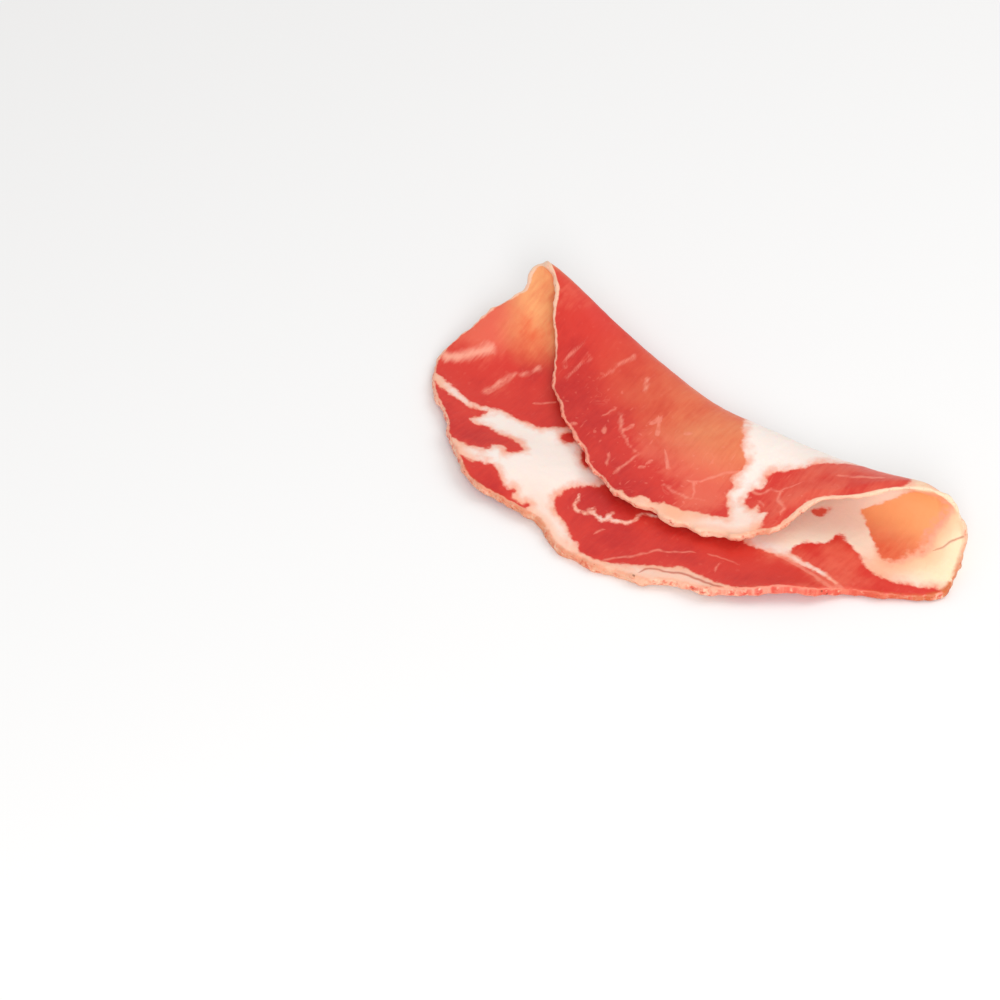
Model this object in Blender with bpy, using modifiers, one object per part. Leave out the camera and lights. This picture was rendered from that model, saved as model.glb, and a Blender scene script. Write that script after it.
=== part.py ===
"""One slice of coppa, folded over once and lying on its larger layer. Metres, +Z up.

The slice is cut flat as a rounded oval. X runs along the fold, and the flat slice's other
direction, "across", is 0 on the fold, negative on the layer that lies below and positive on
the flap that folds back over it.
"""

import bpy
import numpy as np

# The flat slice
THICKNESS = 0.0018
FLAT_CENTRE = 0.002
# Distance from the centre of the fold to the rim, every 15 degrees round, from the open end
RIM_RADII = (
    0.0533, 0.0425, 0.0342, 0.0368, 0.0366, 0.0336, 0.0339, 0.0342,
    0.0358, 0.0370, 0.0404, 0.0432, 0.0486, 0.0592, 0.0666, 0.0622,
    0.0602, 0.0524, 0.0506, 0.0502, 0.0498, 0.0518, 0.0547, 0.0621,
)

# The corner where the rim crosses the fold at the closed end: angle, length and width
TIP_ANGLE = 3.16
TIP_LENGTH = 0.0062
TIP_WIDTH = 0.09

# Uneven cut of the rim: waves round the rim, height of each wave, and where it starts
RIM_WAVES = ((11, 0.00045, 0.4), (19, 0.00030, 2.1), (31, 0.00022, 4.0))

# The fold, at places along X: where the fold lies, how round it is, and the space inside
PLACES = (-0.060, -0.040, -0.020, 0.000, 0.020, 0.036, 0.050, 0.064)
FOLD_Y = (0.0164, 0.0141, 0.0117, 0.0073, 0.0072, 0.0070, 0.0076, 0.0070)
ROUNDNESS = (0.0021, 0.0025, 0.0029, 0.0032, 0.0039, 0.0060, 0.0084, 0.0092)
SPACE = (0.0008, 0.0008, 0.0010, 0.0010, 0.0010, 0.0030, 0.0060, 0.0080)
TURN_SHARE = 1.852
FULL_TURN = 2.4
BEND_START = -0.030

# The flap comes down over the lower layer a little past the turn
STEEPEST = 0.9
DROOP_START = 0.0040
DROOP_SPAN = 0.0060

# The corner at the closed end stands up from the table
CORNER_RISE = 0.0108
CORNER = (-0.058, 0.020)
CORNER_REACH = (0.050, 0.038)

# Low swells of the lower layer, and the wavy lift of its rim
SWELL_RISE = 0.0016
SWELL_LENGTH = (0.0110, 0.0085)
SWELL_START = (0.6, 0.3)
RIM_LIFT = 0.0016
RIM_LIFT_WAVES = 5
RIM_LIFT_START = 0.62
LAYER_EDGE = 0.014

# The mesh of one face of the slice
COLUMNS = 44
ROWS = 38
FOLD_CROWDING = 0.6
STEPS = 48

# The middle of the folded slice, which becomes the origin
MIDDLE = (0.0020, -0.0130)


def through(values, x):
    """A smooth curve through the values given at PLACES, read at x."""
    places = np.array(PLACES)
    values = np.array(values)
    slopes = np.gradient(values, places)
    x = np.clip(x, places[0], places[-1])
    i = np.clip(np.searchsorted(places, x, side="right") - 1, 0, len(places) - 2)
    width = places[i + 1] - places[i]
    t = (x - places[i]) / width
    start = (2 * t**3 - 3 * t**2 + 1) * values[i] + (t**3 - 2 * t**2 + t) * width * slopes[i]
    end = (3 * t**2 - 2 * t**3) * values[i + 1] + (t**3 - t**2) * width * slopes[i + 1]
    return start + end


def rim_radius(angle):
    """The rim's distance from the flat slice's centre at an angle."""
    count = len(RIM_RADII)
    radii = np.array(RIM_RADII)
    turn = (angle / (2 * np.pi) * count) % count
    i = turn.astype(int)
    t = turn - i
    before, here, after, beyond = (radii[(i + k) % count] for k in (-1, 0, 1, 2))
    smooth = here + 0.5 * t * (
        after - before + t * (2 * before - 5 * here + 4 * after - beyond)
        + t**2 * (3 * (here - after) + beyond - before)
    )
    tip = TIP_LENGTH * np.exp(-(((angle % (2 * np.pi) - TIP_ANGLE) / TIP_WIDTH) ** 2))
    return smooth + tip + sum(rise * np.sin(n * angle + phase) for n, rise, phase in RIM_WAVES)


def flat_place(u, v):
    """A point of the square -1..1 on the flat slice, where square rings become rings of the oval."""
    ring = np.maximum(np.abs(u), np.abs(v))
    width = np.maximum(ring, 1e-9)
    angle = np.where(
        np.abs(u) >= np.abs(v),
        np.pi / 4 * v / width * np.sign(u) + np.pi * (u < 0),
        np.pi / 2 * np.sign(v) - np.pi / 4 * u / width * np.sign(v),
    )
    a = ring * np.cos(angle)
    b = ring * np.sin(angle)
    # The rows crowd together at the fold
    chord = np.sqrt(np.maximum(1 - a**2, 1e-9))
    b = b * (FOLD_CROWDING + (1 - FOLD_CROWDING) * (b / chord) ** 2)
    share = np.hypot(a, b)
    angle = np.arctan2(b, a)
    radius = share * rim_radius(angle)
    return FLAT_CENTRE + radius * np.cos(angle), radius * np.sin(angle), share, angle


def heading(x, across):
    """The direction of the slice in the plane across the fold: 0 away from the rim below, pi back over it."""
    roundness = through(ROUNDNESS, x)
    open_height = TURN_SHARE * roundness - THICKNESS - through(SPACE, x)
    span = DROOP_SPAN + roundness
    droop = np.arcsin(np.clip(open_height / (span * np.sqrt(np.pi)), 0, STEEPEST))
    past_turn = np.exp(-(((across - FULL_TURN * roundness - DROOP_START) / span) ** 2))
    return np.pi / 2 * (1 + np.tanh(across / roundness)) + droop * past_turn


def table_rise(x, y):
    """How far the slice stands off the table: its lifted corner and its low swells."""
    away = ((x - CORNER[0]) / CORNER_REACH[0]) ** 2 + ((y - CORNER[1]) / CORNER_REACH[1]) ** 2
    corner = CORNER_RISE * np.maximum(1 - away, 0) ** 3
    along = np.sin(x / SWELL_LENGTH[0] + SWELL_START[0])
    swell = along * np.cos(y / SWELL_LENGTH[1] + SWELL_START[1])
    return corner + SWELL_RISE * np.maximum(swell, 0) ** 2


def folded(x, across, share, angle):
    """The middle of the slice's thickness at places on the flat slice, once it is folded."""
    steps = (np.arange(STEPS) + 0.5) / STEPS
    y = through(FOLD_Y, x) + np.cos(heading(x[:, None], across[:, None] * steps)).mean(1) * across
    length = np.maximum(across - BEND_START, 0)
    rise = np.sin(heading(x[:, None], BEND_START + length[:, None] * steps)).mean(1) * length
    below = np.clip(-across / LAYER_EDGE, 0, 1)
    wave = 0.5 + 0.5 * np.sin(RIM_LIFT_WAVES * angle)
    near_rim = np.maximum((share - RIM_LIFT_START) / (1 - RIM_LIFT_START), 0)
    rim = RIM_LIFT * below**2 * (3 - 2 * below) * near_rim**2 * wave
    z = THICKNESS / 2 + rise + table_rise(x, y) + rim
    return np.stack([x - MIDDLE[0], y - MIDDLE[1], z], axis=1)


def make_slice(collection):
    """A flat grid, bent to the folded slice and thickened."""
    bpy.ops.mesh.primitive_grid_add(x_subdivisions=COLUMNS, y_subdivisions=ROWS, size=2)
    slice_object = bpy.context.object
    slice_object.name = "coppa_slice"
    for owner in list(slice_object.users_collection):
        owner.objects.unlink(slice_object)
    collection.objects.link(slice_object)

    mesh = slice_object.data
    square = np.empty(len(mesh.vertices) * 3)
    mesh.vertices.foreach_get("co", square)
    u, v = square.reshape(-1, 3)[:, :2].T
    mesh.vertices.foreach_set("co", folded(*flat_place(u, v)).ravel())
    mesh.update()

    split = slice_object.modifiers.new("split both faces alike", "TRIANGULATE")
    split.quad_method = "SHORTEST_DIAGONAL"
    thick = slice_object.modifiers.new("thickness", "SOLIDIFY")
    thick.thickness = THICKNESS
    thick.offset = 0
    mesh.shade_smooth()
    return slice_object


def cured_meat():
    material = bpy.data.materials.new("cured_meat")
    material.use_nodes = True
    shader = material.node_tree.nodes["Principled BSDF"]
    shader.inputs["Base Color"].default_value = (0.62, 0.09, 0.06, 1)
    shader.inputs["Roughness"].default_value = 0.42
    shader.inputs["Metallic"].default_value = 0.0
    return material


def main():
    for thing in list(bpy.data.objects):
        bpy.data.objects.remove(thing)
    collection = bpy.data.collections.new("coppa")
    bpy.context.scene.collection.children.link(collection)
    slice_object = make_slice(collection)
    slice_object.data.materials.append(cured_meat())


main()
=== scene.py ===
import math

import bpy
import numpy as np
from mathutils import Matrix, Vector, noise


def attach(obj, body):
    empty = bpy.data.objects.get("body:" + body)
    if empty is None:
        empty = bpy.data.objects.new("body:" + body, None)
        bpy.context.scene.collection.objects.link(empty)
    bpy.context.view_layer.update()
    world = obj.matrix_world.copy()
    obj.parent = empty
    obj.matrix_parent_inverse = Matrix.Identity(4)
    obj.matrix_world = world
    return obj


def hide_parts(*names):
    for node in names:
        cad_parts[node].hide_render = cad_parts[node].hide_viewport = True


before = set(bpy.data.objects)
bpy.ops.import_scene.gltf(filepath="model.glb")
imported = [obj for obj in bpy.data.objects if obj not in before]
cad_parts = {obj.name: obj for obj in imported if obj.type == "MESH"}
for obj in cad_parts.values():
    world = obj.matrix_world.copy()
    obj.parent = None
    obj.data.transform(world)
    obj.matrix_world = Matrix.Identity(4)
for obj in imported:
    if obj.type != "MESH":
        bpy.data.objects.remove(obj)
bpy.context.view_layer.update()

# The slice. One thin oval slice cut from a cured pork neck, folded over once and lying on its
# larger layer. It is one soft sheet, so it is modelled flat and then folded. "Across" is the
# flat slice's other direction: below 0 on the lower layer, above 0 on the flap.

MM = 0.001
THICKNESS = 0.0018
FLAT_CENTRE = 0.002
MIDDLE = (0.0020, -0.0130)

# Distance from the centre of the fold to the rim, every 15 degrees round, from the open end
RIM_RADII = (
    0.0533, 0.0425, 0.0342, 0.0368, 0.0366, 0.0336, 0.0339, 0.0342,
    0.0358, 0.0370, 0.0404, 0.0432, 0.0486, 0.0592, 0.0666, 0.0622,
    0.0602, 0.0524, 0.0506, 0.0502, 0.0498, 0.0518, 0.0547, 0.0621,
)
TIP_ANGLE = 3.16
TIP_LENGTH = 0.0062
TIP_WIDTH = 0.09
RIM_WAVES = ((11, 0.00045, 0.4), (19, 0.00030, 2.1), (31, 0.00022, 4.0))

# The fold, at places along X: where it lies, how round it is, and the space inside it
PLACES = (-0.060, -0.040, -0.020, 0.000, 0.020, 0.036, 0.050, 0.064)
FOLD_Y = (0.0164, 0.0141, 0.0117, 0.0073, 0.0072, 0.0070, 0.0076, 0.0070)
ROUNDNESS = (0.0021, 0.0025, 0.0029, 0.0032, 0.0039, 0.0060, 0.0084, 0.0092)
SPACE = (0.0008, 0.0008, 0.0010, 0.0010, 0.0010, 0.0030, 0.0060, 0.0080)
TURN_SHARE = 1.852
FULL_TURN = 2.4
STEEPEST = 0.9
DROOP_START = 0.0040
DROOP_SPAN = 0.0060
BEND_START = -0.030
BEND_STEPS = 48

# The corner at the closed end stands up, and the layers swell and lift a little
CORNER_RISE = 0.0108
CORNER = (-0.058, 0.020)
CORNER_REACH = (0.050, 0.038)
SWELL_RISE = 0.0016
SWELL_LENGTH = (0.0110, 0.0085)
SWELL_START = (0.6, 0.3)
RIM_LIFT = 0.0016
RIM_LIFT_WAVES = 5
RIM_LIFT_START = 0.62
LAYER_EDGE = 0.014

# The mesh of one face, whose rings crowd together towards the rim
GRID = 200
RIM_CROWDING = 0.75
RIM_CROWDING_REACH = 0.04
RIM_THINNING = 0.45
RIM_ROUNDING = 0.0004


def through(values, x):
    """A smooth curve through the values given at PLACES, read at x."""
    places = np.array(PLACES)
    values = np.array(values)
    slopes = np.gradient(values, places)
    x = np.clip(x, places[0], places[-1])
    i = np.clip(np.searchsorted(places, x, side="right") - 1, 0, len(places) - 2)
    width = places[i + 1] - places[i]
    t = (x - places[i]) / width
    start = (2 * t**3 - 3 * t**2 + 1) * values[i] + (t**3 - 2 * t**2 + t) * width * slopes[i]
    end = (3 * t**2 - 2 * t**3) * values[i + 1] + (t**3 - t**2) * width * slopes[i + 1]
    return start + end


def rim_radius(angle):
    """The rim's distance from the flat slice's centre at an angle."""
    count = len(RIM_RADII)
    radii = np.array(RIM_RADII)
    turn = (angle / (2 * np.pi) * count) % count
    i = turn.astype(int)
    t = turn - i
    before, here, after, beyond = (radii[(i + k) % count] for k in (-1, 0, 1, 2))
    smooth = here + 0.5 * t * (
        after - before + t * (2 * before - 5 * here + 4 * after - beyond)
        + t**2 * (3 * (here - after) + beyond - before)
    )
    tip = TIP_LENGTH * np.exp(-(((angle % (2 * np.pi) - TIP_ANGLE) / TIP_WIDTH) ** 2))
    return smooth + tip + sum(rise * np.sin(n * angle + phase) for n, rise, phase in RIM_WAVES)


def ring_place(u, v):
    """A point of the square -1..1 on the slice, where square rings become rings of the oval."""
    ring = np.maximum(np.abs(u), np.abs(v))
    safe = np.maximum(ring, 1e-9)
    sideways = np.abs(u) >= np.abs(v)
    angle = np.where(
        sideways,
        np.pi / 4 * v / safe * np.sign(u) + np.pi * (u < 0),
        np.pi / 2 * np.sign(v) - np.pi / 4 * u / safe * np.sign(v),
    )
    inward = 1 - ring
    share = 1 - inward * (1 - RIM_CROWDING * np.exp(-inward / RIM_CROWDING_REACH))
    radius = share * rim_radius(angle) * (ring > 0)
    return FLAT_CENTRE + radius * np.cos(angle), radius * np.sin(angle)


def polar(x, across):
    """The angle of a place on the flat slice, and its share of the way out to the rim."""
    angle = np.arctan2(across, x - FLAT_CENTRE)
    return angle, np.hypot(across, x - FLAT_CENTRE) / rim_radius(angle)


def heading(x, across):
    """The direction of the slice in the plane across the fold: 0 away from the rim below, pi over it."""
    roundness = through(ROUNDNESS, x)
    open_height = TURN_SHARE * roundness - THICKNESS - through(SPACE, x)
    span = DROOP_SPAN + roundness
    droop = np.arcsin(np.clip(open_height / (span * np.sqrt(np.pi)), 0, STEEPEST))
    past_turn = np.exp(-(((across - FULL_TURN * roundness - DROOP_START) / span) ** 2))
    return np.pi / 2 * (1 + np.tanh(across / roundness)) + droop * past_turn


def table_rise(x, y):
    """How far the slice stands off the table: its lifted corner and its low swells."""
    away = ((x - CORNER[0]) / CORNER_REACH[0]) ** 2 + ((y - CORNER[1]) / CORNER_REACH[1]) ** 2
    corner = CORNER_RISE * np.maximum(1 - away, 0) ** 3
    along = np.sin(x / SWELL_LENGTH[0] + SWELL_START[0])
    swell = along * np.cos(y / SWELL_LENGTH[1] + SWELL_START[1])
    return corner + SWELL_RISE * np.maximum(swell, 0) ** 2


def folded(x, across):
    """The middle of the slice's thickness at places on the flat slice, once it is folded."""
    angle, share = polar(x, across)
    steps = (np.arange(BEND_STEPS) + 0.5) / BEND_STEPS
    y = through(FOLD_Y, x) + np.cos(heading(x[:, None], across[:, None] * steps)).mean(1) * across
    length = np.maximum(across - BEND_START, 0)
    rise = np.sin(heading(x[:, None], BEND_START + length[:, None] * steps)).mean(1) * length
    below = np.clip(-across / LAYER_EDGE, 0, 1)
    wave = 0.5 + 0.5 * np.sin(RIM_LIFT_WAVES * angle)
    near_rim = np.maximum((share - RIM_LIFT_START) / (1 - RIM_LIFT_START), 0)
    rim = RIM_LIFT * below**2 * (3 - 2 * below) * near_rim**2 * wave
    z = THICKNESS / 2 + rise + table_rise(x, y) + rim
    return np.stack([x - MIDDLE[0], y - MIDDLE[1], z], axis=1)


# Where the fat and the muscles lie, in millimetres along and across the flat slice. The cut
# goes through fat and muscle alike, so both faces show the same picture.
WHITE_FAT = (
    (-38, -33), (-34.5, -31.5), (-31.5, -31.5), (-28, -30.5), (-25.5, -28), (-22, -26), (-17, -27),
    (-12, -30), (-7.5, -30.5), (-8, -33.5), (-10, -36), (-11.5, -38.5), (-12, -42), (-11.5, -44),
    (-10, -45), (-7, -45.5), (-4.5, -46.5), (-2.5, -48), (0.5, -50.5), (-4, -54), (-14, -57),
    (-26, -57), (-36, -53), (-40, -48.5), (-38, -45), (-39.5, -42), (-40.5, -39.5), (-39, -36.5),
)
DARK_FINGER = (
    (-51, -37.5), (-46, -38), (-42, -38), (-38.5, -39.5), (-35.5, -38.5), (-32, -38.5), (-28.5, -38),
    (-26, -38.5), (-25, -40), (-26.5, -42), (-28.5, -41.5), (-30.5, -42.5), (-30.5, -44), (-33, -45),
    (-37, -46), (-40.5, -45.5), (-44, -43.5), (-50, -40),
)
DARK_FOOT = (
    (-38, -49.5), (-34, -49), (-30.5, -48.5), (-27, -47), (-24.5, -47.5), (-22.5, -49), (-21, -49.5),
    (-19, -48.5), (-18.5, -50), (-16.5, -50), (-14.5, -48.5), (-15, -50.5), (-18, -52.5), (-24, -54),
    (-32, -53.5),
)
DARK_MUSCLE = (
    (-12, -41.5), (-11, -37.5), (-10, -35), (-6, -32), (0, -27), (10, -24), (22, -24), (27, -27.5),
    (33, -27.5), (40, -29), (46, -31), (40, -34), (34, -38), (31, -40.5), (25, -41), (19, -41.5),
    (13, -44.5), (9, -47), (6, -48.5), (1.5, -49.5), (-3, -47.5), (-8.5, -45), (-11.5, -44),
)
DARK_SPOTS = (
    ((-23, -29.2), (-21.5, -26.8), (-19.8, -27.8), (-21.2, -30)),
    ((-17, -29.4), (-15.5, -28.5), (-12, -30), (-12.5, -31.4), (-15, -31.2)),
)
RIGHT_FAT = (
    (4.5, -1), (8, 5), (12, 11), (14, 12.5), (14.5, 15), (14, 17.5), (15.5, 19), (15.5, 21.5),
    (18, 24.5), (19.5, 26.5), (18, 27.5), (15.5, 28), (12.5, 29), (9.5, 30), (7, 30), (5, 31.5),
    (3, 31), (1, 33), (-2, 33.5), (-6, 37), (10, 45), (40, 45), (75, 20), (75, -25), (60, -38),
    (50, -34), (44.5, -29), (40, -27.5), (33, -27), (28, -27.5), (23, -27.5), (20, -22), (15, -12),
    (8, -6),
)
RED_BAND = (
    (20, 14), (22.5, 11.5), (26, 8.5), (30, 5.5), (35.5, 3.5), (40, 4), (44.5, 4.5), (46.5, 7),
    (45, 10.5), (43.5, 13.5), (39.5, 15), (36.5, 15), (34, 14.5), (32.5, 16), (30.5, 18.5), (30, 21),
    (29.5, 23), (29.5, 25), (28, 27), (27, 28), (26, 25), (25.5, 22), (24, 22.5), (22.5, 21),
    (21.5, 22.5), (19.5, 21), (19.5, 18.5), (21, 16.5),
)
RED_WEDGE = (
    (32.5, -24.5), (33.5, -21), (36, -19), (37, -17), (37.5, -15), (39.5, -16), (42, -17.5),
    (44.5, -19.5), (48, -21.5), (51, -22), (54.5, -21), (58, -19), (62, -17), (65, -20), (57, -30),
    (50, -33), (46, -30), (43, -27.5), (39, -26), (35.5, -25.5),
)
RED_SPOT = ((29, -12.5), (30.5, -10.5), (32, -10), (32, -11.5), (31, -13))
# The hollow's inner wall, painted amber where light comes through it from behind
BACKLIT_HOLLOW = (
    (37, -7), (39, -9), (41, -11), (43.5, -13.5), (45.5, -15.5), (47.5, -17), (49.5, -16.5),
    (50.5, -15), (51, -13), (52.5, -11), (51.5, -8), (52, -4), (53, 0), (51, 3), (47, 2.5),
    (43.5, -0.5), (40, -4),
)
# The corner at the closed end, painted amber where light comes through it
TIP_BACKLIGHT = (
    (-56, 3), (-50, 1), (-45, -3), (-41, -8), (-42, -13), (-46, -13), (-49, -9), (-53, -5), (-58, -2),
)
RIM_FAT = (
    (-2.5, -48), (1.5, -49.5), (6, -48.5), (9.5, -47), (13.5, -44.5), (17, -43), (19, -41.5),
    (22, -41.5), (25.5, -41.5), (29.5, -41), (34, -39.5), (37.5, -37), (41, -35), (40, -42),
    (25, -54), (5, -58), (-8, -56),
)

# Fat seams, as their points and how wide they start and end
SEAMS = (
    (
        ((-58, -34.5), (-54, -34.5), (-50.5, -35), (-46, -35.5), (-43, -35.5), (-40, -34.5), (-37, -33)),
        2.5, 1.0,
    ),
    (
        (
            (-9, -38.5), (-8, -41), (-5.5, -41), (-4, -39.5), (-1.5, -40), (-0.5, -38.5), (1, -38),
            (3, -37),
        ),
        0.7, 1.1,
    ),
    (((3, -37), (3.5, -35.5), (3.5, -33.5), (4.5, -32.5), (7, -31.5)), 0.9, 0.4),
    (((-0.8, -38.6), (-1, -36.3)), 1.1, 0.2),
    (((-5.6, -41), (-4.6, -38.2)), 0.6, 0.1),
)
# Thin light threads in the muscle, in the same form
THREADS = (
    (((6, -48), (8, -45.5), (10, -43.5), (12.5, -39.5), (15, -38.5), (18, -36.5)), 0.45, 0.40),
    (((21, -34.8), (24, -34.3), (27, -34.2)), 0.30, 0.10),
    (
        ((31, -27.2), (33, -27), (36.5, -27.7), (39.5, -28.5), (42, -29.5), (45, -30.5), (49, -31)),
        1.0, 0.8,
    ),
    (((36, -25.8), (40, -26.8), (43, -27.6), (46, -29.3), (50, -30.5)), 0.7, 0.9),
    (((-8.5, 15), (-7.5, 12.5)), 0.9, 0.6),
    (((-8, 13), (-5.5, 16)), 0.9, 1.1),
    (((-12, 20.5), (-11, 18.5)), 0.8, 1.0),
    (((-15, 24), (-15.3, 23.4)), 1.0, 0.9),
    (((-21.3, 27), (-21, 26.6)), 0.9, 0.8),
    (((-10, 27.5), (-8.5, 30)), 0.5, 0.7),
    (((-5.5, 23), (-5.3, 26), (-5.5, 30)), 0.4, 0.7),
    (((-1.5, 18.5), (1.7, 21.5)), 0.4, 1.0),
    (((-2.3, 23.5), (-2.2, 23)), 0.9, 0.8),
    (((-2.4, 25.3), (-2, 25)), 0.9, 0.7),
    (((-0.2, 12.7), (0.3, 12.2)), 0.8, 0.6),
    (((-17, 17.5), (-17.7, 21)), 0.4, 0.3),
    (((7.5, 22), (9.3, 21.3), (9.7, 20.3), (11.5, 18), (14, 16)), 0.6, 0.4),
    (((8.5, 21.7), (10.2, 25)), 0.7, 0.3),
    (((-33, -25.5), (-30.5, -23)), 0.7, 0.5),
    (((20, 18.5), (21.5, 18), (22.5, 16.5), (24.5, 16), (27, 13)), 0.6, 0.2),
    (((24.5, 16), (25.5, 18), (27.5, 19), (28, 21)), 0.4, 0.5),
    (((22, 20), (23.5, 20.5)), 0.5, 0.3),
    (((24, -36.5), (24.5, -38.5)), 0.4, 0.2),
    (((33, 9), (37, 8.5), (41, 7.5)), 0.4, 0.9),
    (((0, -43), (0.5, -41.5)), 0.5, 0.3),
)
# Broad soft light patches in the muscle, in the same form. The first three, on the lower layer,
# are painted highlights: the wet sheen on its wrinkles
STREAKS_AND_SHEEN = (
    (((-56, -28), (-53.5, -26), (-51.5, -23.5), (-50, -21)), 3.2, 2.8),
    (((-39, -18), (-39.5, -19.5), (-40.5, -21.5)), 1.8, 0.8),
    (((-42, -22), (-42.5, -25.5), (-43.5, -30)), 1.2, 1.6),
    (((-33, 9), (-33.5, 12), (-33, 16)), 0.5, 0.7),
    (((-30, 11), (-30, 13), (-31, 18)), 0.9, 0.3),
    (((-16.5, 7.5), (-15, 10)), 1.0, 0.8),
    (((-22.5, 5), (-24, 10), (-25, 14)), 0.9, 0.5),
    (((-15, 18), (-12, 21), (-7, 23)), 0.8, 0.5),
    (((4, 26), (8, 26.5), (13, 25)), 0.7, 0.3),
)
# Thin brown lines in the fat, in the same form
DARK_LINES = (
    (
        ((13.5, -47), (14.5, -45.3), (17, -44.5), (20, -43.3), (23, -42.8), (26, -42.8), (29, -42.2)),
        0.4, 0.7,
    ),
    (((55, -9.6), (56, -8.4), (57, -6.5), (59, -4)), 0.15, 0.35),
    (((31.5, -39.8), (34.5, -38.6), (37, -36.6)), 0.15, 0.10),
)
# Where the muscle is lighter or darker: a place, how far it reaches, and how much. It is partly
# the muscle's own tone and partly painted light and shade, lighter where light comes through the
# flap and the hollow
TONES_AND_LIGHT = (
    ((-37, 10), 5, -0.4), ((-27, 20), 8, -0.7), ((-2, 31), 7, -0.9), ((-15, 27), 7, -0.6),
    ((12, 24), 7, 0.9), ((2, 17), 7, 0.5), ((-4, 23), 5, 0.7), ((-43, 4), 6, 0.5),
    ((-8, 9), 8, -0.2), ((8, 17), 6, 0.7), ((-5, 16), 4, 0.5), ((-41, -17), 4, -0.5),
    ((-47, -12), 4, -0.6), ((-52, -26), 8, 0.4), ((-54, -20), 4, 0.8), ((30.5, -11.5), 3, 1.0),
    ((-53, -13), 7, 0.9), ((-45, -31), 4, -0.3), ((-28, -28), 8, -0.1), ((25, -33), 10, 0.5),
    ((-5, -36), 6, -0.3), ((40, -30), 8, 0.4), ((33, 10), 14, 0.7), ((27, 20), 5, 0.3),
    ((46, -4), 7, 1.2), ((46, -15), 3, -0.8), ((42, -22), 12, 0.5), ((-34, -42), 6, 0.1),
)
DARK_MUSCLE_TONE = -0.45
# Round the rim, every 15 degrees from the open end: how red its cut side is, how wide a line
# of fat follows it on the faces, in millimetres, and how browned it is
RIM_REDNESS = (
    0.05, 0.05, 0.10, 0.20, 0.15, 0.15, 0.30, 0.60, 0.75, 0.80, 0.60, 0.25,
    0.00, 0.20, 0.45, 0.50, 0.40, 0.25, 0.35, 0.20, 0.50, 0.90, 0.95, 0.50,
)
FAT_LINE = (
    0.20, 0.40, 0.70, 0.50, 0.40, 0.30, 0.30, 0.40, 0.50, 0.50, 0.50, 0.60,
    0.90, 0.50, 0.45, 0.40, 0.40, 0.60, 0.60, 0.50, 0.40, 0.40, 0.10, 0.20,
)
BROWNING = (
    0.0, 0.0, 0.0, 0.5, 0.0, 0.0, 0.0, 0.0, 0.0, 0.0, 0.0, 0.0,
    0.0, 0.0, 0.0, 0.1, 0.4, 0.7, 0.5, 0.3, 0.1, 0.0, 0.2, 1.0,
)
# How thick the rim is at those places, as a share of the slice, and how far in it thins
RIM_FULLNESS = (
    0.36, 0.36, 0.48, 0.62, 0.80, 0.85, 0.75, 0.60, 0.55, 0.55, 0.60, 0.70,
    0.80, 0.85, 0.90, 1.00, 1.00, 1.00, 1.00, 1.00, 1.00, 1.00, 1.00, 0.80,
)
RIM_THINNING_REACH = 0.0035
# Where the fat is warmer: a place, how far it reaches, and how much
WARM_FAT = (
    ((48, -22), 6, 0.9), ((10, 31), 8, 1.0), ((20, -46), 12, 0.7), ((-12, -50), 8, 0.4),
    ((25, 26), 5, 0.3),
)
# Soft-edged areas, along and across: where each starts, is full, begins to fade, and ends
# The first is painted amber light through the flap, the second painted light inside the fold
FLAP_BACKLIGHT = ((-36, 8, 13, 18), (-8, 0, 9, 22))
FOLD_LIGHT_AREA = ((14, 24, 42, 50), (-27, -22, -2, 4))
# How strong the painted amber light through the flap and the painted cream light in the fold are there
FLAP_BACKLIGHT_SHARE = 0.5
FOLD_LIGHT_CREAM = 0.5
# Where along and across the slice the fat turns creamy, and where the muscle has more veins
CREAM_FROM = ((34, 54), (-24, -14))
VEINS_FROM = ((-40, -15), (8, 16))
FEWEST_VEINS = 0.25
# How softly the dark muscle and the painted amber light begin, as distances in from their outlines
DARK_MUSCLE_EDGE = (-0.5, 2)
TIP_BACKLIGHT_EDGE = (-8, 2)
TIP_BACKLIGHT_BELOW = (-3, 0.5)
HOLLOW_EDGE = (-2.5, -0.5)
# How weak the hollow's painted amber light is at its lower end, and where across the slice it becomes
# full
HOLLOW_WEAKEST = 0.4
HOLLOW_FULL = (-13, -5)
# Its painted light spreads into the fat round it as a painted glow, and blurs the edge of that fat
GLOW_REACH = (-7, 0)
GLOW_FROM = (44, 50)
BLUR = 0.75
BLUR_REACH = (-3, -0.5)
BLUR_FROM = (47, 51)
# Edges drawn through moved places: the length of each wander, and how far it reaches
EDGE_WANDER = ((4.0, 0.45), (1.3, 0.35))
CURVE_STEPS = 6
OUTSIDE = -9.0


def smooth_line(points, closed):
    """More points along a smooth curve through these."""
    points = np.array(points, float)
    count = len(points)
    spans = count if closed else count - 1
    t = np.arange(CURVE_STEPS)[:, None] / CURVE_STEPS
    made = []
    for i in range(spans):
        at = [i - 1, i, i + 1, i + 2]
        at = [k % count if closed else min(max(k, 0), count - 1) for k in at]
        before, here, after, beyond = points[at]
        made.append(here + 0.5 * t * (
            after - before + t * (2 * before - 5 * here + 4 * after - beyond)
            + t**2 * (3 * (here - after) + beyond - before)
        ))
    made.append(points[:1] if closed else points[-1:])
    return np.concatenate(made)


def nearest(x, y, line):
    """How far a line is, the share of the way along it, and whether the place is on its left."""
    best = np.full(len(x), np.inf)
    along = np.zeros(len(x))
    left = np.ones(len(x), bool)
    for i, (start, end) in enumerate(zip(line[:-1], line[1:])):
        step = end - start
        t = ((x - start[0]) * step[0] + (y - start[1]) * step[1]) / max(step @ step, 1e-12)
        t = np.clip(t, 0, 1)
        distance = np.hypot(x - start[0] - t * step[0], y - start[1] - t * step[1])
        closer = distance < best
        turn = step[0] * (y - start[1]) - step[1] * (x - start[0])
        along = np.where(closer, (i + t) / (len(line) - 1), along)
        left = np.where(closer, turn >= 0, left)
        best = np.minimum(best, distance)
    return best, along, left


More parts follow.
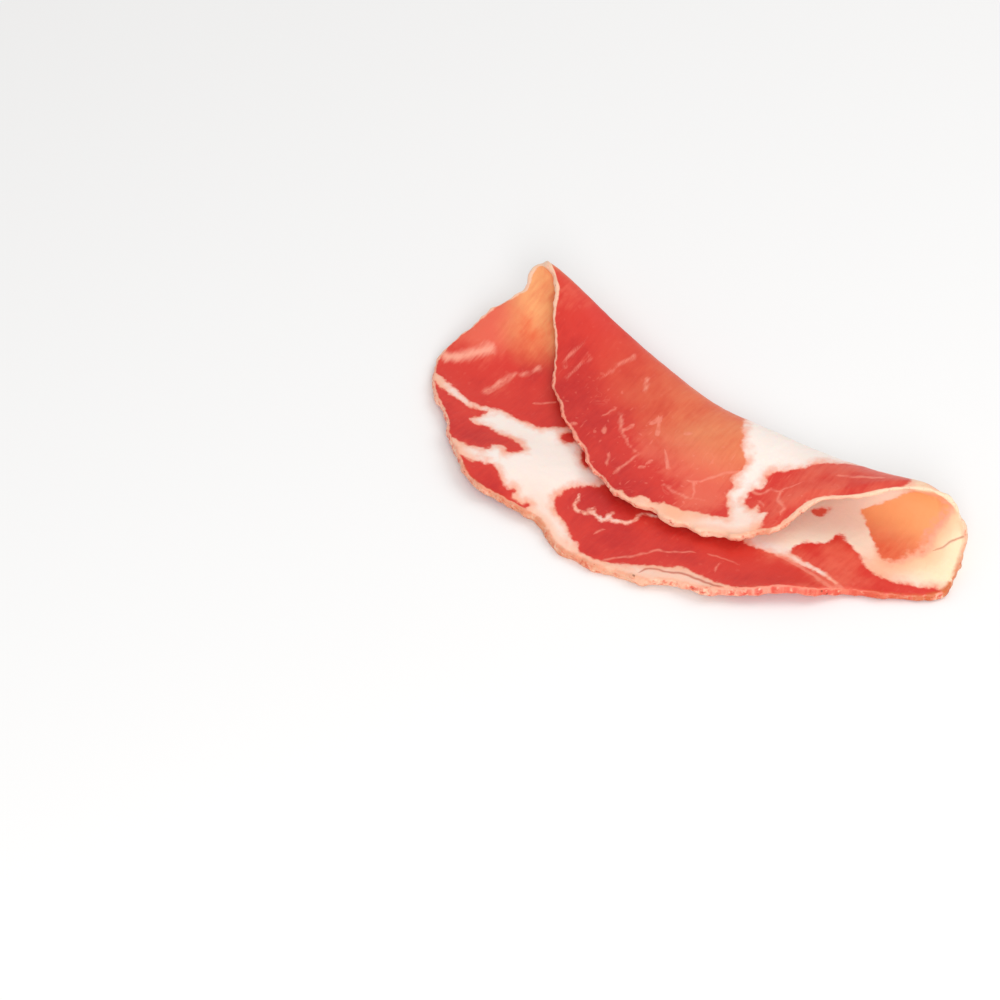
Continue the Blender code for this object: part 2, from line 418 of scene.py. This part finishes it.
def patch(x, y, outline):
    """How far inside a closed outline a place lies, below 0 outside it."""
    line = smooth_line(outline, True)
    distance, _, _ = nearest(x, y, line)
    inside = np.zeros(len(x), bool)
    for start, end in zip(line[:-1], line[1:]):
        crosses = (start[1] > y) != (end[1] > y)
        rise = end[1] - start[1]
        at = start[0] + (y - start[1]) * (end[0] - start[0]) / (rise if rise else 1)
        inside ^= crosses & (x < at)
    return np.where(inside, distance, -distance)


def seam(x, y, points, start_width, end_width):
    """How far inside a thin seam a place lies, below 0 outside it."""
    distance, along, _ = nearest(x, y, smooth_line(points, False))
    return (start_width + (end_width - start_width) * along) / 2 - distance


def threads(x, y, lines):
    """The nearest thread's distance, below 0 on its right, and half its width there.

    The change of sign at its middle lets a thread show that runs between two mesh corners.
    """
    side = np.full(len(x), OUTSIDE)
    half_width = np.zeros(len(x))
    for points, start_width, end_width in lines:
        distance, along, left = nearest(x, y, smooth_line(points, False))
        closer = distance < np.abs(side)
        width = start_width + (end_width - start_width) * along
        side = np.where(closer, np.where(left, distance, -distance), side)
        half_width = np.where(closer, width / 2, half_width)
    return side, half_width


def wander(x, y):
    """Places moved a little, so that edges drawn through them look grown and not drawn."""
    for length, reach in EDGE_WANDER:
        sideways = np.array([noise.noise((a / length, b / length, length)) for a, b in zip(x, y)])
        upwards = np.array([noise.noise((a / length, b / length, -length)) for a, b in zip(x, y)])
        x = x + reach * sideways
        y = y + reach * upwards
    return x, y


def soft(value, low, high):
    """0 below low, 1 above high, and a smooth rise between."""
    t = np.clip((value - low) / (high - low), 0, 1)
    return t * t * (3 - 2 * t)


def area(x, y, along, over):
    """1 inside a soft-edged area of the slice, 0 outside it."""
    inside = np.ones(len(x))
    for value, (start, full, fading, end) in ((x, along), (y, over)):
        inside *= soft(value, start, full) * soft(-value, -end, -fading)
    return inside


def soft_spots(x, y, spots):
    """The sum of soft round spots, each a place, its reach and its amount."""
    total = np.zeros(len(x))
    for (along, over), reach, amount in spots:
        total += amount * np.exp(-((x - along) ** 2 + (y - over) ** 2) / reach**2)
    return total


def round_rim(values, angle):
    """A table of values round the rim, read at an angle."""
    turn = np.degrees(angle) % 360
    return np.interp(turn, np.arange(len(values)) * 360 / len(values), values, period=360)


bpy.ops.object.select_all(action="DESELECT")
bpy.ops.mesh.primitive_grid_add(x_subdivisions=GRID, y_subdivisions=GRID, size=2, calc_uvs=False)
cured_slice = bpy.context.object
cured_slice.name = "cured_slice"
mesh = cured_slice.data

square = np.empty(len(mesh.vertices) * 3)
mesh.vertices.foreach_get("co", square)
u, v = square.reshape(-1, 3)[:, :2].T
x, across = ring_place(u, v)
mesh.vertices.foreach_set("co", folded(x, across).ravel())

corner_of = np.empty(len(mesh.loops), int)
mesh.loops.foreach_get("vertex_index", corner_of)
flat_map = mesh.uv_layers.new(name="flat_slice")
flat_map.uv.foreach_set("vector", np.stack([x, across], axis=1)[corner_of].astype(np.float32).ravel())

rounding = cured_slice.vertex_groups.new(name="thickness")
angle, share = polar(x, across)
to_rim = (1 - share) * rim_radius(angle)
fullness = 1 - RIM_THINNING * np.maximum(1 - to_rim / RIM_ROUNDING, 0) ** 2
thinned = 1 - round_rim(RIM_FULLNESS, angle)
fullness *= 1 - thinned * soft(-to_rim, -RIM_THINNING_REACH, 0)
for i, weight in enumerate(fullness):
    rounding.add([i], weight, "REPLACE")
thick = cured_slice.modifiers.new("thickness", "SOLIDIFY")
thick.thickness = THICKNESS
thick.offset = 0
thick.vertex_group = "thickness"
bpy.ops.object.modifier_apply(modifier="thickness")

# The cut side of the rim gets rows of its own, so that it can be rough
RIM_CUTS = 2
mesh = cured_slice.data
half = len(u)
ends = np.empty(len(mesh.edges) * 2, int)
mesh.edges.foreach_get("vertices", ends)
ends = ends.reshape(-1, 2)
joins_faces = (ends[:, 0] < half) != (ends[:, 1] < half)
bpy.ops.object.mode_set(mode="EDIT")
bpy.ops.mesh.select_mode(type="EDGE")
bpy.ops.mesh.select_all(action="DESELECT")
bpy.ops.object.mode_set(mode="OBJECT")
mesh.edges.foreach_set("select", joins_faces)
bpy.ops.object.mode_set(mode="EDIT")
bpy.ops.mesh.subdivide(number_cuts=RIM_CUTS)
bpy.ops.object.mode_set(mode="OBJECT")
mesh.shade_smooth()

# What each place on the slice is: fat or muscle, painted amber light where light comes through,
# how light the muscle is, partly painted light and shade, where its threads and veins are, how
# creamy or warm the fat, where painted light makes it paler in the fold or glows round the hollow,
# how red or brown the rim, and how far away the rim is
RELIEF = 0.00007
RELIEF_EDGE = (-0.3, 0.5)
LUMPS = ((0.0060, 0.00010), (0.0016, 0.00005))
RIM_LUMPS = ((0.0034, 0.00050), (0.0013, 0.00034))
RIM_LUMPS_REACH = 0.0009

count = len(mesh.vertices)
corner_of = np.empty(len(mesh.loops), int)
mesh.loops.foreach_get("vertex_index", corner_of)
flat = np.empty(len(mesh.loops) * 2, np.float32)
mesh.uv_layers["flat_slice"].uv.foreach_get("vector", flat)
flat = flat.reshape(-1, 2).astype(float)
seen = np.bincount(corner_of, minlength=count)
x = np.bincount(corner_of, flat[:, 0], count) / seen
across = np.bincount(corner_of, flat[:, 1], count) / seen
angle, share = polar(x, across)
to_rim = np.maximum(1 - share, 0) * rim_radius(angle) / MM

a, b = wander(x / MM, across / MM)
finger = patch(a, b, DARK_FINGER)
foot = patch(a, b, DARK_FOOT)
spots = np.maximum.reduce([patch(a, b, outline) for outline in DARK_SPOTS])
white = np.minimum(patch(a, b, WHITE_FAT), -np.maximum.reduce([finger, foot, spots]))
hollow = patch(a, b, BACKLIT_HOLLOW)
islands = [patch(a, b, outline) for outline in (RED_BAND, RED_WEDGE, RED_SPOT)] + [hollow]
fat = np.minimum(patch(a, b, RIGHT_FAT), -np.maximum.reduce(islands))
fat = np.maximum.reduce([fat, white, patch(a, b, RIM_FAT)])
for points, start_width, end_width in SEAMS:
    fat = np.maximum(fat, seam(a, b, points, start_width, end_width))
streak = np.full(count, OUTSIDE)
for points, start_width, end_width in STREAKS_AND_SHEEN:
    streak = np.maximum(streak, seam(a, b, points, start_width, end_width))
thread, thread_width = threads(a, b, THREADS)
dark_line, dark_width = threads(a, b, DARK_LINES)

dark_muscles = np.maximum.reduce([patch(a, b, DARK_MUSCLE), finger, foot])
tone_and_light = DARK_MUSCLE_TONE * soft(dark_muscles, *DARK_MUSCLE_EDGE) + soft_spots(a, b, TONES_AND_LIGHT)
# Painted light: amber where light comes through the corner, the flap and the hollow's wall
tip_backlight = soft(patch(a, b, TIP_BACKLIGHT), *TIP_BACKLIGHT_EDGE) * soft(-b, *TIP_BACKLIGHT_BELOW)
flap_backlight = FLAP_BACKLIGHT_SHARE * area(a, b, *FLAP_BACKLIGHT)
hollow_share = HOLLOW_WEAKEST + (1 - HOLLOW_WEAKEST) * soft(b, *HOLLOW_FULL)
hollow_backlight = soft(hollow, *HOLLOW_EDGE) * hollow_share
painted_backlight = np.maximum.reduce([tip_backlight, flap_backlight, hollow_backlight])
# Painted glow of that light in the fat round the hollow
painted_glow = soft(hollow, *GLOW_REACH) * soft(a, *GLOW_FROM)
fat *= 1 - BLUR * soft(-np.abs(hollow), *BLUR_REACH) * soft(a, *BLUR_FROM)
veins = soft(a, *VEINS_FROM[0]) * soft(b, *VEINS_FROM[1])
veins = FEWEST_VEINS + (1 - FEWEST_VEINS) * veins
# Painted light inside the fold: the fat there is drawn creamier and paler
painted_fold_light = area(a, b, *FOLD_LIGHT_AREA)
cream_and_fold_light = soft(a, *CREAM_FROM[0]) * soft(b, *CREAM_FROM[1])
cream_and_fold_light = np.maximum(cream_and_fold_light, FOLD_LIGHT_CREAM * painted_fold_light)

values = {
    "fat": fat, "streak": streak, "tone_and_light": tone_and_light, "painted_backlight": painted_backlight, "painted_glow": painted_glow, "veins": veins,
    "thread": thread, "thread_far": np.abs(thread), "thread_width": thread_width,
    "dark_line": dark_line, "dark_far": np.abs(dark_line), "dark_width": dark_width,
    "cream_and_fold_light": cream_and_fold_light, "painted_fold_light": painted_fold_light, "warm": soft_spots(a, b, WARM_FAT),
    "redness": round_rim(RIM_REDNESS, angle), "browned": round_rim(BROWNING, angle),
    "fat_line": round_rim(FAT_LINE, angle), "to_rim": to_rim,
}
for name, value in values.items():
    layer = mesh.attributes.new(name, "FLOAT", "POINT")
    layer.data.foreach_set("value", value.astype(np.float32))

place = np.empty(count * 3)
outward = np.empty(count * 3)
mesh.vertices.foreach_get("co", place)
mesh.vertices.foreach_get("normal", outward)
place = place.reshape(-1, 3)
outward = outward.reshape(-1, 3)


def lumps(layers):
    """Uneven heights over the slice, from layers of a length and a height."""
    total = np.zeros(count)
    for length, height in layers:
        total += height * np.array([noise.noise(Vector(p) / length) for p in place])
    return total


at_rim = soft(-to_rim * MM, -RIM_LUMPS_REACH, 0)
height = RELIEF * soft(fat, *RELIEF_EDGE) + lumps(LUMPS) * (1 - at_rim) + lumps(RIM_LUMPS) * at_rim
place += outward * height[:, None]
mesh.vertices.foreach_set("co", place.ravel())
mesh.update()

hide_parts("coppa_slice")
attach(cured_slice, "root")

# The cured meat: moist red muscle and white fat, under a rim that has dried and browned
meat = bpy.data.materials.new("cured meat")
meat.use_nodes = True
tree = meat.node_tree
shader = tree.nodes["Principled BSDF"]


def paint(red, green, blue):
    """A colour given as it looks on a screen, 0 to 255."""
    return tuple((c / 255) ** 2.2 for c in (red, green, blue)) + (1,)


def fill(socket, value):
    """Sets a socket to a number or a colour, or links it to another socket."""
    if isinstance(value, bpy.types.NodeSocket):
        tree.links.new(value, socket)
    else:
        socket.default_value = value


def attribute(name):
    """One of the numbers that the mesh holds for each place."""
    made = tree.nodes.new("ShaderNodeAttribute")
    made.attribute_name = name
    return made.outputs["Fac"]


def calculated(kind, first, second=0.0, third=0.0):
    """What a Math node of a kind makes of these numbers."""
    made = tree.nodes.new("ShaderNodeMath")
    made.operation = kind
    for socket, value in zip(made.inputs, (first, second, third)):
        fill(socket, value)
    return made.outputs[0]


def rise(value, low, high):
    """0 where value is low, 1 where it is high, smoothly."""
    made = tree.nodes.new("ShaderNodeMapRange")
    made.interpolation_type = "SMOOTHSTEP"
    if low > high:
        low, high = high, low
        made.inputs["To Min"].default_value = 1
        made.inputs["To Max"].default_value = 0
    fill(made.inputs["Value"], value)
    made.inputs["From Min"].default_value = low
    made.inputs["From Max"].default_value = high
    return made.outputs["Result"]


def mixed(share, first, second):
    """The first colour where share is 0, the second where it is 1."""
    made = tree.nodes.new("ShaderNodeMix")
    made.data_type = "RGBA"
    fill(made.inputs["Factor"], share)
    fill(made.inputs[6], first)
    fill(made.inputs[7], second)
    return made.outputs[2]


def grain(vector, size, detail=2.0, distortion=0.0):
    """Noise with lumps of a size in metres."""
    made = tree.nodes.new("ShaderNodeTexNoise")
    made.inputs["Scale"].default_value = 1 / size
    made.inputs["Detail"].default_value = detail
    made.inputs["Distortion"].default_value = distortion
    tree.links.new(vector, made.inputs["Vector"])
    return made.outputs["Fac"]


def centred(noise_value, strength):
    """Noise spread evenly above and below 0."""
    return calculated("MULTIPLY_ADD", noise_value, strength, -strength / 2)


def uneven(vector, size, detail, strength):
    """Noise of a size and a detail, spread evenly above and below 0."""
    return centred(grain(vector, size, detail), strength)


def marks(vector, size, detail, start, full):
    """Marks where the noise is high, 1 where they are full."""
    return rise(grain(vector, size, detail), start, full)


def thin_line(side, width, far):
    """1 on the thin lines whose distance and width are in attributes, 0 off them."""
    off = calculated("SUBTRACT", calculated("ABSOLUTE", attribute(side)), attribute(width))
    return calculated("MULTIPLY", rise(off, *LINE_EDGE), rise(attribute(far), *LINE_REACH))


MUSCLE_DEEP = paint(198, 45, 42)
MUSCLE = paint(219, 61, 50)
MUSCLE_LIGHT = paint(234, 104, 82)
# Painted light: amber colours where light comes through the thin slice
BACKLIT_AMBER = paint(253, 180, 120)
BACKLIT_AMBER_DEEP = paint(240, 108, 68)
VEIN = paint(250, 152, 130)
# Partly a painted highlight: the wet sheen on wrinkles of the lower layer
STREAK_AND_SHEEN = paint(253, 170, 146)
FAT_EDGE = paint(250, 170, 144)
FAT_WHITE = paint(255, 238, 229)
FAT_CREAM = paint(254, 234, 196)
FAT_WARM = paint(252, 184, 150)
# Painted glow of light coming through, in the fat round the hollow
PAINTED_GLOW = paint(253, 194, 152)
LINE = paint(196, 92, 70)
RIM_PINK = paint(246, 136, 114)
RIM_ROSY = paint(226, 88, 72)
RIM_CREAM = paint(253, 208, 178)
RIND = paint(208, 104, 52)
SPECK = paint(120, 56, 36)

# Fibres lie across the slice, a little turned: their size and detail, and how much they shade
FIBRES = (0.0042, 3)
FIBRE_TURN = math.radians(8)
FIBRE_STRETCH = 5
FIBRE_SHADE = 0.8
# Uneven colour: how large its lumps are, how finely they break up, and how strong it is
MOTTLE = (0.0080, 4, 2.0)
STREAK_GRAIN = (0.0040, 3, 2.2)
RAGGED_EDGE = (0.0012, 4, 1.5)
FAT_CLOUDS = (0.0036, 4, 4.0)
RIM_WEAR = (0.0016, 4, 1.0)
RIM_SPOTS = (0.0009, 4, 2.4)
# Marks: how large they are, how finely they break up, and the noise where they start and are full
FLECKS = (0.0034, 1, 0.66, 0.80)
DOTS = (0.0013, 0, 0.72, 0.82)
THREAD_WEAR = (0.0014, 3, 0.30, 0.58)
VEIN_PARTS = (0.0050, 1, 0.52, 0.66)
BROWN_PARTS = (0.0022, 4, 0.28, 0.50)
SPECKS = (0.0009, 1, 0.72, 0.77)
# Broken veins: their size, detail and bends, and how narrow they are
VEIN_LINES = (0.0075, 2, 0.8)
VEIN_EDGE = (0.014, 0.002)
# How strongly each kind of mark shows, and how weak a worn thread gets
BROKEN_VEIN_STRENGTH = 0.5
VEIN_STRENGTH = 0.45
THREAD_WEAKEST = 0.4
LINE_STRENGTH = 0.62
STREAK_STRENGTH = 0.95
DARK_LINE_STRENGTH = 0.8
SPECK_STRENGTH = 0.7
# Where each colour starts and is full, by how light the muscle is
TO_MUSCLE = (-1.1, 0.1)
TO_LIGHT = (0.1, 1.1)
TO_BACKLIT_AMBER = (-0.8, 0.5)
# The same by the distance past a thin line's side, and from its middle, in millimetres
LINE_EDGE = (0.30, -0.28)
LINE_REACH = (0.80, 0.45)
# The same by the distance inside a streak or the fat, and how much deeper sheltered fat counts
STREAK_EDGE = (-0.5, 1.4)
FAT_BOUNDARY = (-0.40, 0.40)
FAT_INSIDE = (-0.6, 2.4)
FOLD_LIGHT_DEPTH = 1.6
# The same by the distance from the rim, in millimetres
WARM_RIM = (4.5, 0.5)
WARM_RIM_STRENGTH = 0.75
RIM_LINE_EDGE = (-0.25, 0.15)
CUT_SIDE = (0.22, -0.08)
BROWN_REACH = (1.1, 0.1)
SPECK_REACH = (0.9, 0.3)
# The rim's cut side turns rosy by its redness, and takes a share of the cream
ROSY = (0.15, 0.85)
RIM_CREAM_SHARE = 0.4

uv_map = tree.nodes.new("ShaderNodeUVMap")
uv_map.uv_map = "flat_slice"
flat_place = uv_map.outputs["UV"]
turned = tree.nodes.new("ShaderNodeMapping")
turned.inputs["Rotation"].default_value = (0, 0, FIBRE_TURN)
turned.inputs["Scale"].default_value = (FIBRE_STRETCH, 1, 1)
tree.links.new(flat_place, turned.inputs["Vector"])
along_fibres = turned.outputs["Vector"]
fibre = grain(along_fibres, *FIBRES)
solid_place = tree.nodes.new("ShaderNodeTexCoord").outputs["Object"]

# Muscle: deep to light red, painted amber light where light comes through the thin slice, with faint
# fibres
# The tone is partly the muscle's own and partly painted light and shade
shade = calculated("ADD", attribute("tone_and_light"), uneven(flat_place, *MOTTLE))
shade = calculated("ADD", shade, centred(fibre, FIBRE_SHADE))
muscle = mixed(rise(shade, *TO_MUSCLE), MUSCLE_DEEP, MUSCLE)
muscle = mixed(rise(shade, *TO_LIGHT), muscle, MUSCLE_LIGHT)
backlit_muscle = mixed(rise(shade, *TO_BACKLIT_AMBER), BACKLIT_AMBER_DEEP, BACKLIT_AMBER)
muscle = mixed(attribute("painted_backlight"), muscle, backlit_muscle)

# Threads, a few faint broken veins, and short flecks that lie along the fibres
vein = calculated("ABSOLUTE", calculated("SUBTRACT", grain(flat_place, *VEIN_LINES), 0.5))
vein = calculated("MULTIPLY", rise(vein, *VEIN_EDGE), marks(flat_place, *VEIN_PARTS))
vein = calculated("MULTIPLY", vein, BROKEN_VEIN_STRENGTH)
fleck = calculated("MAXIMUM", marks(along_fibres, *FLECKS), marks(flat_place, *DOTS))
vein = calculated("MULTIPLY", calculated("MAXIMUM", vein, fleck), attribute("veins"))
worn_thread = marks(flat_place, *THREAD_WEAR)
worn_thread = calculated("MULTIPLY_ADD", worn_thread, 1 - THREAD_WEAKEST, THREAD_WEAKEST)
line = calculated("MULTIPLY", thin_line("thread", "thread_width", "thread_far"), worn_thread)
line = calculated("MAXIMUM", line, calculated("MULTIPLY", vein, VEIN_STRENGTH))
muscle = mixed(calculated("MULTIPLY", line, LINE_STRENGTH), muscle, VEIN)
# Light patches, partly painted highlights of wet sheen on the lower layer's wrinkles
soft_streak = calculated("ADD", attribute("streak"), uneven(along_fibres, *STREAK_GRAIN))
soft_streak = calculated("MULTIPLY", rise(soft_streak, *STREAK_EDGE), STREAK_STRENGTH)
muscle = mixed(soft_streak, muscle, STREAK_AND_SHEEN)

# Fat: white inside, rosy towards the muscle, warm towards the rim, creamy at the open end, with
# a painted glow round the hollow and painted light that makes it paler and creamier inside the fold
fat_value = calculated("ADD", attribute("fat"), uneven(flat_place, *RAGGED_EDGE))
is_fat = rise(fat_value, *FAT_BOUNDARY)
cloudy = calculated("ADD", fat_value, uneven(flat_place, *FAT_CLOUDS))
# Painted light inside the fold: its fat is pushed away from the rosy edge colour
cloudy = calculated("MULTIPLY_ADD", attribute("painted_fold_light"), FOLD_LIGHT_DEPTH, cloudy)
pale = mixed(attribute("cream_and_fold_light"), FAT_WHITE, FAT_CREAM)
# Painted glow round the hollow
pale = mixed(attribute("painted_glow"), pale, PAINTED_GLOW)
pale = mixed(rise(cloudy, *FAT_INSIDE), FAT_EDGE, pale)
warmth = calculated("MULTIPLY", rise(attribute("to_rim"), *WARM_RIM), WARM_RIM_STRENGTH)
warmth = calculated("MULTIPLY", warmth, calculated("SUBTRACT", 1.0, attribute("cream_and_fold_light")))
warmth = calculated("MAXIMUM", warmth, attribute("warm"))
pale = mixed(warmth, pale, FAT_WARM)
surface = mixed(is_fat, muscle, pale)
dark = thin_line("dark_line", "dark_width", "dark_far")
surface = mixed(calculated("MULTIPLY", dark, DARK_LINE_STRENGTH), surface, LINE)

# The rim: a line of fat on the faces, then the cut side, mottled, browned in places and specked
rim_value = calculated("ADD", attribute("to_rim"), uneven(flat_place, *RIM_WEAR))
inner = calculated("SUBTRACT", attribute("fat_line"), rim_value)
rim_cream = calculated("MULTIPLY", attribute("cream_and_fold_light"), RIM_CREAM_SHARE)
rim_cream = mixed(rim_cream, RIM_CREAM, FAT_CREAM)
rim_line = mixed(attribute("redness"), rim_cream, RIM_PINK)
surface = mixed(rise(inner, *RIM_LINE_EDGE), surface, rim_line)
rosy = calculated("ADD", attribute("redness"), uneven(solid_place, *RIM_SPOTS))
side = mixed(rise(rosy, *ROSY), rim_cream, RIM_ROSY)
surface = mixed(rise(rim_value, *CUT_SIDE), surface, side)
brown = calculated("MULTIPLY", attribute("browned"), marks(solid_place, *BROWN_PARTS))
surface = mixed(calculated("MULTIPLY", brown, rise(rim_value, *BROWN_REACH)), surface, RIND)
specks = calculated("MULTIPLY", marks(solid_place, *SPECKS), rise(rim_value, *SPECK_REACH))
surface = mixed(calculated("MULTIPLY", specks, SPECK_STRENGTH), surface, SPECK)
tree.links.new(surface, shader.inputs["Base Color"])

# Its moist gloss, the light that enters it, and a fine roughness of fibres, threads and pores
MOIST_PATCHES = (0.0030, 3)
ROUGHNESS = 0.32
ROUGHNESS_SPREAD = 0.20
GLOSS = 0.35
SCATTER_SHARE = 0.25
SCATTER_LENGTHS = (1.0, 0.35, 0.25)
SCATTER_DEPTH = 0.0012
PORES = (0.0008, 3)
PORE_HEIGHT = 0.5
THREAD_HEIGHT = 0.3
BUMP_STRENGTH = 0.6
BUMP_HEIGHT = 0.00012

moist = grain(solid_place, *MOIST_PATCHES)
fill(shader.inputs["Roughness"], calculated("MULTIPLY_ADD", moist, ROUGHNESS_SPREAD, ROUGHNESS))
shader.inputs["Specular IOR Level"].default_value = GLOSS
shader.inputs["Subsurface Weight"].default_value = SCATTER_SHARE
shader.inputs["Subsurface Radius"].default_value = SCATTER_LENGTHS
shader.inputs["Subsurface Scale"].default_value = SCATTER_DEPTH
bump = tree.nodes.new("ShaderNodeBump")
bump.inputs["Strength"].default_value = BUMP_STRENGTH
bump.inputs["Distance"].default_value = BUMP_HEIGHT
rough = calculated("MULTIPLY_ADD", grain(solid_place, *PORES), PORE_HEIGHT, fibre)
rough = calculated("MULTIPLY_ADD", line, THREAD_HEIGHT, rough)
fill(bump.inputs["Height"], rough)
tree.links.new(bump.outputs["Normal"], shader.inputs["Normal"])
cured_slice.data.materials.append(meat)

# The ground that the slice lies on: a plain, matt white sheet, far larger than the slice, so
# that no edge of it shows. It isn't part of the object.
GROUND_SIZE = 6.0
GROUND_WHITE = (0.96, 0.96, 0.96, 1)
GROUND_ROUGHNESS = 0.9
bpy.ops.object.select_all(action="DESELECT")
bpy.ops.mesh.primitive_plane_add(size=GROUND_SIZE)
ground = bpy.context.object
ground.name = "ground"
ground_paint = bpy.data.materials.new("white ground")
ground_paint.use_nodes = True
ground_shader = ground_paint.node_tree.nodes["Principled BSDF"]
ground_shader.inputs["Base Color"].default_value = GROUND_WHITE
ground_shader.inputs["Roughness"].default_value = GROUND_ROUGHNESS
ground_shader.inputs["Specular IOR Level"].default_value = 0.0
ground.data.materials.append(ground_paint)

# Studio light: a bright white room, one large lamp above and behind the slice, and a smaller
# one beside the camera that shines into the fold.
SKY = 0.62
SKY_COLOUR = (1.0, 0.99, 0.98, 1)
LAMP_PLACE = (0.35, 0.45, 0.75)
LAMP_SIZE = 0.7
LAMP_POWER = 2.2
FILL_PLACE = (0.42, -0.50, 0.42)
FILL_SIZE = 0.4
FILL_POWER = 2.7
scene = bpy.context.scene
room = bpy.data.worlds.new("white room")
room.use_nodes = True
room.node_tree.nodes["Background"].inputs["Color"].default_value = SKY_COLOUR
room.node_tree.nodes["Background"].inputs["Strength"].default_value = SKY
scene.world = room
lamps = (
    ("large lamp", LAMP_PLACE, LAMP_SIZE, LAMP_POWER),
    ("fill lamp", FILL_PLACE, FILL_SIZE, FILL_POWER),
)
for name, where, size, power in lamps:
    lamp_data = bpy.data.lights.new(name, "AREA")
    lamp_data.shape = "DISK"
    lamp_data.size = size
    lamp_data.energy = power
    lamp = bpy.data.objects.new(name, lamp_data)
    lamp.location = where
    lamp.rotation_euler = Vector(where).to_track_quat("Z", "Y").to_euler()
    scene.collection.objects.link(lamp)
scene.view_settings.view_transform = "Standard"

# The camera looks down from beside the open end of the fold. It aims beside the slice, so that
# the slice stands where it does in the picture.
TURN = math.radians(38.5)
LOOK_DOWN = math.radians(42)
DISTANCE = 0.600
LENS = 108
SEEN_POINT = Vector((-MIDDLE[0], -MIDDLE[1], 0.005))
SEEN_RIGHT = 0.040
SEEN_ABOVE = 0.014
back = Vector((
    math.sin(TURN) * math.cos(LOOK_DOWN),
    -math.cos(TURN) * math.cos(LOOK_DOWN),
    math.sin(LOOK_DOWN),
))
right = Vector((math.cos(TURN), math.sin(TURN), 0))
aim = SEEN_POINT - right * SEEN_RIGHT - back.cross(right) * SEEN_ABOVE
camera_data = bpy.data.cameras.new("camera")
camera_data.lens = LENS
camera = bpy.data.objects.new("camera", camera_data)
camera.location = aim + back * DISTANCE
camera.rotation_euler = back.to_track_quat("Z", "Y").to_euler()
scene.collection.objects.link(camera)
scene.camera = camera
